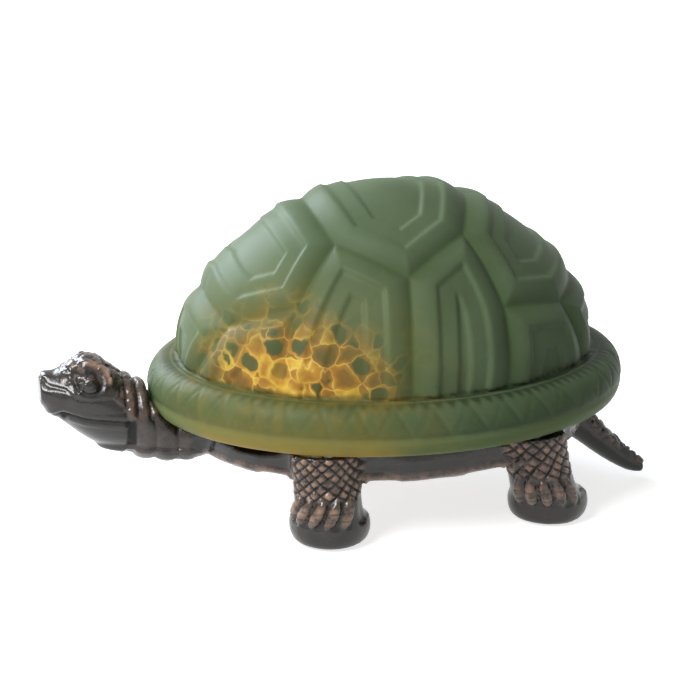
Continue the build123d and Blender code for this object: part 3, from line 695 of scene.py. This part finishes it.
carve = bmesh.new()
carve.from_mesh(even_mesh)
behind_snout = [vert for vert in carve.verts if in_millimetres(vert.co)[0] > snout_start]
leg_roots = [vert for vert in carve.verts if near_leg_point(vert.co, **leg_root)]
feet = [vert for vert in carve.verts if near_leg_point(vert.co, **foot_zone)]
for rounds, chosen in ((corner_rounds, behind_snout), (leg_root_rounds, leg_roots), (foot_rounds, feet)):
    for _ in range(rounds):
        bmesh.ops.smooth_vert(carve, verts=chosen, factor=0.5,
                              use_axis_x=True, use_axis_y=True, use_axis_z=True)
fine_edges = [edge for edge in carve.edges
              if wants_detail(edge.verts[0].co) and wants_detail(edge.verts[1].co)]
bmesh.ops.subdivide_edges(carve, edges=fine_edges, cuts=1, use_grid_fill=True, smooth=0.0)
bmesh.ops.triangulate(carve, faces=[face for face in carve.faces if len(face.verts) > 4])
bmesh.ops.recalc_face_normals(carve, faces=carve.faces)
carve.to_mesh(even_mesh)
carve.free()
even_mesh.polygons.foreach_set("use_smooth", np.ones(len(even_mesh.polygons), bool))
print("casting:", triangle_count(even_mesh), "triangles to carve")

# %% [markdown]
# ## Cast body: the head
# The pattern maker carved folds in the neck, lids round the eyes, a mouth line, a smooth beak with a hooked
# tip and plates on the crown. Each is a height in millimetres at each place, and the heights add up. A second
# number, the copper, says how much the finisher's cloth reached each place.

# %% Cast body: helpers for relief
place, normal = vertex_places(even_mesh)
x = (place[:, 0] - shell_middle) * 1000
y = place[:, 1] * 1000
z = place[:, 2] * 1000
side = np.abs(y)
height = np.zeros(len(place))
copper = np.zeros(len(place))


def line_gap(route):
    """Distance in the side view from each point to a line of straight runs."""
    gap = np.full(len(x), far_away)
    for (x0, z0), (x1, z1) in zip(route, route[1:]):
        run = np.array((x1 - x0, z1 - z0))
        along = np.clip(((x - x0) * run[0] + (z - z0) * run[1]) / (run @ run), 0.0, 1.0)
        gap = np.minimum(gap, np.hypot(x - x0 - along * run[0], z - z0 - along * run[1]))
    return gap


def plate_gap(chosen, size):
    """How far each chosen point lies from its plate's edge, in a pavement of uneven plates of this size."""
    gap = np.full(len(x), size)
    for index in np.flatnonzero(chosen):
        distances = noise.voronoi(Vector((x[index], y[index], z[index])) / size)[0]
        gap[index] = (distances[1] - distances[0]) * size
    return gap


def say_height(part):
    """Prints how far the relief reaches once this part is carved."""
    print("casting:", part, "carved, height", height.min().round(2), "to", height.max().round(2), "mm")


# %% Cast body: flat faces of the snout
bridge_point = (-134.0, 2.0, 58.3)
bridge_direction = (-0.25, 0.675, 0.694)
front_point = (-136.2, 0.0, 50.0)
front_direction = (-1.0, 0.0, 0.0)
snout_reach = (119.0, 124.0)
snout_height = (50.0, 52.0)

on_snout = ramp(-x, *snout_reach) * ramp(z, *snout_height)
for point, direction, chosen in (
        (bridge_point, bridge_direction, on_snout), (front_point, front_direction, 1.0)):
    past = sum((values - at) * part for values, at, part in zip((x, side, z), point, direction))
    cut = np.clip(past, 0.0, None) * chosen
    x -= cut * direction[0]
    side = np.abs(side - cut * direction[1])
    z -= cut * direction[2]
y = np.where(y < 0.0, -side, side)
print("casting: snout cut by up to", cut.max().round(2), "mm in front")

# %% Cast body: eyes and brows
eye_x = -118.2
eye_z = 55.8
eye_half_length = 6.2
eye_half_height = 4.9
eye_slant = 0.12
head_start = (101.0, 105.0)
head_side = (3.0, 7.0)

# Shares of the eye's half length and half height; a lid line has a height, a sag and a width
ball_place_shares = (-0.05, -0.08)
ball_size_share = 0.74
ball_flatness_share = 1.15
lid_line_shares = ((0.12, 0.25, 0.07), (-0.22, 0.15, 0.06))
lid_line_reach_share = 0.66
socket_edge_share = 1.04
socket_slope_share = 0.16
lid_share = 0.95
lid_width_share = 0.09
upper_lid_shares = (-0.25, 0.3)
tear_place_shares = (-0.62, -0.72)
tear_size_share = 0.2
brow_share = 1.27
brow_width_share = 0.15
brow_slant_share = 0.25
brow_start_shares = (0.05, 0.5)
brow_copper_shares = (-0.5, 0.3)

# Millimetres
ball_rise = 1.7
lid_line_fall = 0.45
socket_fall = 1.1
lower_lid_rise = 0.6
upper_lid_fall = 0.5
tear_rise = 0.8
brow_rise = 1.0
brow_copper = 0.75

on_head = ramp(-x, *head_start)
on_side = ramp(side, *head_side) * on_head
eye_along = (x - eye_x) / eye_half_length
eye_up = (z - eye_z + eye_slant * (x - eye_x)) / eye_half_height
eye_out = np.hypot(eye_along, eye_up)
ball_up = (eye_up - ball_place_shares[1]) * ball_flatness_share
ball_out = np.hypot(eye_along - ball_place_shares[0], ball_up) / ball_size_share
ball = np.sqrt(np.clip(1.0 - ball_out ** 2, 0.0, None))
lid_line = sum(bell(eye_up - up + sag * eye_along ** 2, width) for up, sag, width in lid_line_shares)
tear = bell(np.hypot(eye_along - tear_place_shares[0], eye_up - tear_place_shares[1]), tear_size_share)
brow = bell(eye_out - brow_share, brow_width_share)
brow *= ramp(eye_up + brow_slant_share * eye_along, *brow_start_shares)
lid = bell(eye_out - lid_share, lid_width_share)
upper_lid = ramp(eye_up, *upper_lid_shares)
eye = ball_rise * ball - lid_line_fall * lid_line * (eye_out < lid_line_reach_share)
eye -= socket_fall * ramp(socket_edge_share - eye_out, 0.0, socket_slope_share)
eye += lower_lid_rise * lid * (1.0 - upper_lid) - upper_lid_fall * lid * upper_lid
height += (eye + tear_rise * tear + brow_rise * brow) * on_side
copper = np.maximum(copper, brow_copper * brow * on_side * ramp(eye_along, *brow_copper_shares))
say_height("eyes")

# %% Cast body: beak, mouth and nostrils
beak_edge = ((-140.0, 58.0), (-135.7, 57.0), (-132.9, 54.6), (-127.0, 53.6), (-123.0, 50.6), (-117.6, 50.0),
             (-109.6, 49.6), (-106.0, 46.0), (-102.5, 40.0))
beak_slope = 0.4
beak_fall = 0.5
beak_groove_depth = 0.35
beak_groove_width = 0.5
mouth_route = ((-131.6, 43.4), (-128.2, 44.2), (-120.0, 41.8), (-112.8, 40.9), (-103.6, 39.6))
mouth_depth = 0.8
mouth_width = 0.6
lips_gap = 1.9
lips_rise = 0.3
lips_width = 0.9
hook_place = (-131.8, 44.4)
hook_size = 2.0
hook_rise = 1.1
notch_place = (-128.2, 42.6)
notch_depth = 1.6
notch_size = 1.5
nostril_place = (-134.8, 3.4, 55.6)
nostril_depth = 0.7
nostril_size = 0.9

edge_z = np.interp(x, [point[0] for point in beak_edge], [point[1] for point in beak_edge])
on_beak = ramp(edge_z - z, -beak_slope, beak_slope) * on_head
mouth_gap = line_gap(mouth_route)
nostril_gap = np.linalg.norm(np.stack((x, side, z), axis=1) - np.array(nostril_place), axis=1)
height += beak_fall * (1.0 - on_beak) * on_head
height -= beak_groove_depth * bell(edge_z - z, beak_groove_width) * on_head
height += lips_rise * bell(mouth_gap - lips_gap, lips_width) * on_head
height -= mouth_depth * bell(mouth_gap, mouth_width) * on_head
height -= nostril_depth * bell(nostril_gap, nostril_size)
for spot, size, rise in ((hook_place, hook_size, hook_rise), (notch_place, notch_size, -notch_depth)):
    height += rise * bell(np.hypot(x - spot[0], z - spot[1]), size)
say_height("beak")

# %% Cast body: crown and cheek plates
crown_plate = 5.2
crown_height = (54.0, 57.0)
crown_end = (126.0, 130.0)
crown_facing = (0.2, 0.5)
cheek_plate = 3.4
cheek_start = (100.0, 104.0)
cheek_end = -118.0
cheek_eye_shares = (1.6, 2.0)

on_crown = ramp(normal[:, 2], *crown_facing) * ramp(z, *crown_height) * on_head * (1.0 - ramp(-x, *crown_end))
on_cheek = (1.0 - on_beak) * ramp(eye_out, *cheek_eye_shares) * ramp(-x, *cheek_start)
on_cheek *= (1.0 - on_crown) * (x > cheek_end)
# Each pavement: where it lies, its plates' size, rise and fall, slope, and how its copper grows
pavements = ((on_crown, crown_plate, 0.6, 0.35, (0.1, 0.9), 0.15, (0.3, 1.2)),
             (on_cheek, cheek_plate, 0.4, 0.2, (0.1, 0.8), 0.1, (0.2, 0.8)))
for on_part, size, plate_rise, plate_fall, slope, plate_copper, copper_slope in pavements:
    gap = plate_gap(on_part > 0.0, size)
    height += on_part * (plate_rise * ramp(gap, *slope) - plate_fall)
    copper = np.maximum(copper, plate_copper * on_part * ramp(gap, *copper_slope))
say_height("plates")

# %% Cast body: neck folds
upper_folds = ((-102.2, 1.7), (-97.4, 1.7), (-92.8, 1.7))
lower_folds = ((-97.2, 3.0), (-89.4, 3.4), (-81.6, 3.0))
upper_fold_rise = 1.9
lower_fold_rise = 1.5
upper_fold_copper = 0.15
lower_fold_copper = 0.05
fold_fall = 1.1
fold_spread_share = 1.35
fold_power = 0.6
neck_start = (77.0, 80.0)
neck_end = (103.5, 105.5)
upper_neck = (39.0, 43.0)

on_upper = ramp(z, *upper_neck)
on_neck = ramp(-x, *neck_start) * (1.0 - ramp(-x, *neck_end))
for folds, on_part, fold_rise, fold_copper in (
        (upper_folds, on_upper, upper_fold_rise, upper_fold_copper),
        (lower_folds, 1.0 - on_upper, lower_fold_rise, lower_fold_copper)):
    ridge = np.zeros(len(x))
    for fold_x, fold_width in folds:
        across = (x - fold_x) / (fold_width * fold_spread_share)
        ridge = np.maximum(ridge, np.clip(1.0 - across ** 2, 0.0, 1.0) ** fold_power)
    height += (fold_rise * ridge - fold_fall) * on_neck * on_part
    copper = np.maximum(copper, fold_copper * ridge * on_neck * on_part)
say_height("neck")

# %% [markdown]
# ## Cast body: legs and tail
# The shanks are covered in a lattice of lozenge scales, and each foot has five ringed fingers that lie on a
# plain plinth, and sweep forward on the front feet. The lattice is two families of slanting lines round the
# leg, and each finger is a rounded strip of the same unrolled surface.

# %% Cast body: scales and toes
shank_radius = 14.0
leg_lean = (6.0, 38.0)
leg_reach = (-19.0, -17.0)
shank_reach = (-15.0, -12.0)
shank_stretch = 1.05
shank_top = (38.3, 39.2)
shank_root = 0.8
shank_facing = (-0.45, -0.05)
level_facing = (0.35, 0.75)
scale_slope = 1.4
scale_bend = 0.6
bend_heights = 3.7
bend_rounds = 3.1
scale_edge = (0.15, 0.95)
scale_crown = (0.9, 2.2)
scale_rise = 0.95
scale_crown_rise = 0.3
scale_fall = 0.85
scale_copper = 0.5
scale_copper_edge = (0.5, 1.6)
toe_count = 5
toe_rise = 2.7
toe_fall = 0.35
toe_width_share = 0.49
toe_swell_shares = (0.52, 0.54)
toe_start_shares = (-0.05, 0.02)
toe_end_shares = (0.98, 1.1)
toe_copper = 0.6
ring_shares = (0.30, 0.62)
ring_width_share = 0.035
ring_fall = 0.55
ring_copper_share = 0.7


def leg_relief(leg):
    """Height and copper of the scales and the fingers of one pair of legs."""
    foot_x, foot_side = leg["foot"]
    top_x, top_side = leg["top"]
    tip_z, root_z = leg["toes"]
    lean = ramp(z, *leg_lean)
    out_x = x - foot_x - (top_x - foot_x) * lean
    out_side = side - foot_side - (top_side - foot_side) * lean
    bearing = np.arctan2(out_side, out_x)
    around = (bearing - math.radians(leg["turn"])) * shank_radius

    bend = scale_bend * (np.sin(z / bend_heights + foot_x) + np.sin(around / bend_rounds + foot_x))
    first = np.abs(((around + bend + scale_slope * z) / leg["scale_size"]) % 1.0 - 0.5)
    second = np.abs(((around + bend - scale_slope * z) / leg["scale_size"]) % 1.0 - 0.5)
    edge_gap = (0.5 - np.maximum(first, second)) * leg["scale_size"]
    shank = ramp(z, root_z - shank_root, root_z + shank_root) * (1.0 - ramp(z, *shank_top))
    shank *= ramp(-np.hypot(out_x / shank_stretch, out_side), *shank_reach)
    shank *= ramp(np.sin(bearing), *shank_facing) * (1.0 - ramp(normal[:, 2], *level_facing))
    scale = scale_rise * ramp(edge_gap, *scale_edge) + scale_crown_rise * ramp(edge_gap, *scale_crown)
    scales = (scale - scale_fall) * shank

    toe_place = (around - leg["sweep"] * (root_z - z)) / leg["toe_size"] + (toe_count - 1) / 2
    off_toe = np.abs(toe_place - np.round(toe_place))
    along = (z - tip_z) / (root_z - tip_z)
    swell = np.sqrt(np.clip(1.0 - ((along - toe_swell_shares[0]) / toe_swell_shares[1]) ** 2, 1e-4, 1.0))
    finger = np.sqrt(np.clip(1.0 - (off_toe / (toe_width_share * swell)) ** 2, 0.0, 1.0)) * swell
    ring = sum(bell(along - share, ring_width_share) for share in ring_shares)
    on_foot = ramp(along, *toe_start_shares) * (1.0 - ramp(along, *toe_end_shares))
    on_foot *= ramp(-np.hypot(out_x, out_side), *leg_reach)
    on_foot *= (toe_place > -0.5) & (toe_place < toe_count - 0.5)
    toes = (toe_rise * finger - ring_fall * ring * finger - toe_fall) * on_foot
    finger_copper = toe_copper * finger ** 2 * (1.0 - ring_copper_share * ring) * on_foot
    return scales + toes, np.maximum(scale_copper * ramp(edge_gap, *scale_copper_edge) * shank, finger_copper)


for name, leg in legs.items():
    leg_height, leg_copper = leg_relief(leg)
    height += leg_height
    copper = np.maximum(copper, leg_copper)
    say_height(name + " legs")

# %% Cast body: tail beads, the band's copper underside and the unevenness of a casting
bead_size = 3.4
bead_rise = 1.3
bead_fall = 0.5
bead_round = 1.4
bead_copper = 0.4
bead_copper_edge = (0.4, 1.2)
tail_start = (80.0, 84.0)
tail_facing = (0.15, 0.55)
band_edge_z = 29.5
band_edge_slope = 1.5
band_low = (23.0, 25.0)
band_facing = (0.15, 0.5)
band_front = -76.0
band_thicken = 1.6
band_copper = 0.4
uneven_height = 0.18
hollow_depths = (0.15, 0.8)

on_tail = ramp(x, *tail_start) * ramp(normal[:, 2], *tail_facing)
bead_gap = plate_gap(on_tail > 0.0, bead_size)
height += on_tail * (bead_rise * np.sqrt(np.clip(bead_gap / bead_round, 0.0, 1.0)) - bead_fall)
copper = np.maximum(copper, bead_copper * on_tail * ramp(bead_gap, *bead_copper_edge))
below_band = ramp(-normal[:, 2], *band_facing) * ramp(z, *band_low)
below_band *= 1.0 - ramp(z, band_edge_z - band_edge_slope, band_edge_z)
height += band_thicken * below_band
copper = np.maximum(copper, band_copper * below_band * (x > band_front))
# Waves of a few millimetres that run across each other, as in a sand mould
unevenness = np.sin(x / 5.1 + 1.7 * np.sin(y / 9.0)) * np.sin(z / 4.3 + y / 7.7 + 1.3 * np.sin(x / 11.0))
height += uneven_height * unevenness * (1.0 - on_head)
place = np.stack((x / 1000 + shell_middle, y / 1000, z / 1000), axis=1) + normal * (height / 1000)[:, None]
even_mesh.vertices.foreach_set("co", place.ravel())
# The hollow numbers dull the hollows and darken them as painted shade
store(even_mesh, copper=copper, hollow=ramp(-height, *hollow_depths))
even_mesh.update()
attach(casting, "base")
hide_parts("base_casting")
say_height("tail and band")

# %% [markdown]
# ## Cast body: bronze-black lacquer rubbed to copper
# The casting is painted a brown so dark that it is nearly black, then wiped with copper, which stays on what
# stands proud: scales, knuckles, folds. Under a clear lacquer much of what the eye sees is the white room,
# but the hollows are dull and darkened as painted shade. The attribute "copper" and a second one for the
# hollows, stored with the relief, say where the cloth reached and where the hollows are, and a cloud breaks
# the copper up.

# %% Cast body: bronze-black lacquer rubbed to copper
hollow_roughness = 0.85

# Lacquered paint: near black with a clear wet shine, warm copper where it is rubbed, dull in the hollows,
# which are also darkened as painted shade
bronze_finish, shader, add = new_finish("bronze_black_lacquered_casting", Specular_IOR_Level=0.5)
coordinates = add("TexCoord", output="Object")
cloud = add("TexNoise", {"Vector": coordinates, "Scale": per_metre(4.0), "Detail": 5.0})
dark = add("ValToRGB", {"Fac": cloud}, stops=((0.35, "#15120F"), (0.7, "#28221C")))
hollow = add("Attribute", output="Fac", attribute_name="hollow")
# Painted shade: the hollows are darkened towards black
dark = add("Mix", {0: hollow, 6: dark, 7: linear("#060504")}, **mix_colours)
rub = add("Attribute", output="Fac", attribute_name="copper")
broken = add("MapRange", {"Value": cloud, "From Min": 0.36, "From Max": 0.62, "To Min": 0.15})
rub_part = add("Math", {0: rub, 1: broken}, **times)
bronze = add("Mix", {0: rub_part, 6: dark, 7: linear("#C29A80")}, **mix_colours)
gloss = add("MapRange", {"Value": cloud, "To Min": 0.12, "To Max": 0.32})
gloss = add("Mix", {0: hollow, 2: gloss, 3: hollow_roughness})
skin = add("TexNoise", {"Vector": coordinates, "Scale": per_metre(1.5), "Detail": 3.0})
bump = add("Bump", {"Height": skin, "Strength": 0.2, "Distance": 0.0005})
fill(shader, {"Base Color": bronze, "Roughness": gloss, "Normal": bump})
even_mesh.materials.append(bronze_finish)
print("finish:", bronze_finish.name)

# %% [markdown]
# ## Small hardware
# The socket, its bracket and screws, the bulb and the pads keep the frame's meshes. Each gets the finish of
# its own material: a cloud of two near tones, a gloss that is never quite even, and a fine skin.


# %% Small hardware: one recipe
def clouded_finish(name, tones, cloud_size, roughness, skin_size, skin_depth, **constants):
    """A finish with a cloud of two near tones, uneven gloss and a fine skin; sizes are in millimetres."""
    finish, shader, add = new_finish(name, **constants)
    coordinates = add("TexCoord", output="Object")
    cloud = add("TexNoise", {"Vector": coordinates, "Scale": per_metre(cloud_size), "Detail": 4.0})
    tone = add("ValToRGB", {"Fac": cloud}, stops=((0.3, tones[0]), (0.7, tones[1])))
    gloss = add("MapRange", {"Value": cloud, "To Min": roughness[0], "To Max": roughness[1]})
    skin = add("TexNoise", {"Vector": coordinates, "Scale": per_metre(skin_size)})
    bump = add("Bump", {"Height": skin, "Strength": 0.3, "Distance": skin_depth / 1000})
    fill(shader, {"Base Color": tone, "Roughness": gloss, "Normal": bump})
    return finish


# %% Small hardware: what each piece is made of
metal = {"Metallic": 1.0}
seen_through = {"Transmission_Weight": 0.9, "IOR": 1.5}
lit_inside = {"Emission_Color": linear("#FFD9A0"), "Emission_Strength": 0.6}
feet = [f"{end}_{hand}" for end in ("front", "rear") for hand in ("right", "left")]

# Each row: name, two tones, cloud size, roughness, skin size and depth, constants, pieces
hardware = (
    # A cool pale grey with a soft, slightly cloudy mirror
    ("zinc_plated_steel", ("#A9ADB0", "#C3C6C8"), 4.0, (0.25, 0.4), 0.8, 0.1, metal,
     ("socket_bracket", "bracket_screw", "bracket_lock_washer", "bracket_nut", "socket_fixing_screws")),
    # A warm yellow mirror, a little duller where it has tarnished
    ("spun_brass", ("#B08D45", "#CFAE62"), 3.0, (0.25, 0.4), 0.8, 0.1, metal,
     ("socket_thread_shell", "socket_centre_contact", "socket_terminal_screws", "bulb_cap")),
    # A dull grey that froze with a rough skin
    ("tin_solder", ("#9A9A9C", "#B4B4B5"), 1.5, (0.35, 0.5), 0.6, 0.2, metal, ("bulb_tip_contact",)),
    # A warm grey wire with a fine shine
    ("drawn_nickel_wire", ("#8C8A86", "#A8A6A0"), 1.0, (0.3, 0.4), 0.5, 0.1, metal, ("bulb_lead_wires",)),
    # A darker and duller grey than nickel
    ("tungsten_wire", ("#4A4A4E", "#66666A"), 1.0, (0.35, 0.5), 0.5, 0.1, metal, ("bulb_filament",)),
    # A brownish black with the satin of a steel mould
    ("moulded_black_phenolic", ("#17140F", "#262019"), 5.0, (0.4, 0.55), 1.0, 0.2, {}, ("socket_body",)),
    # A neutral black, a little waxy
    ("black_nylon", ("#141414", "#1F1F1F"), 4.0, (0.45, 0.6), 1.0, 0.2, {}, ("cord_bushing",)),
    # A flat black that takes no highlight
    ("black_rubber", ("#161616", "#242424"), 3.0, (0.75, 0.9), 0.9, 0.3, {},
     [foot + "_foot_pad" for foot in feet]),
    # A milky pale grey with a soft shine
    ("cloudy_silicone", ("#B9BDB8", "#CDD0CB"), 3.0, (0.4, 0.5), 0.9, 0.2, {},
     [foot + "_rest_pad" for foot in feet]),
    # Deep and wet looking
    ("black_cap_glass", ("#08080A", "#15151A"), 3.0, (0.1, 0.2), 1.0, 0.1, {}, ("bulb_cap_insulator",)),
    # Seen through, with sharp small highlights
    ("clear_bulb_glass", ("#E6ECEA", "#F2F6F5"), 6.0, (0.03, 0.06), 2.0, 0.1, seen_through, ("bulb_stem",)),
    # An even warm cream without a mirror, as with a lit filament behind it
    ("frosted_bulb_glass", ("#EDE6D6", "#F6F1E4"), 6.0, (0.45, 0.55), 0.8, 0.1, lit_inside, ("bulb_glass",)),
)
for *recipe, constants, pieces in hardware:
    finish = clouded_finish(*recipe, **constants)
    for name in pieces:
        nodes[name].data.materials.clear()
        nodes[name].data.materials.append(finish)
    print("finish:", finish.name, "on", len(pieces), "pieces")
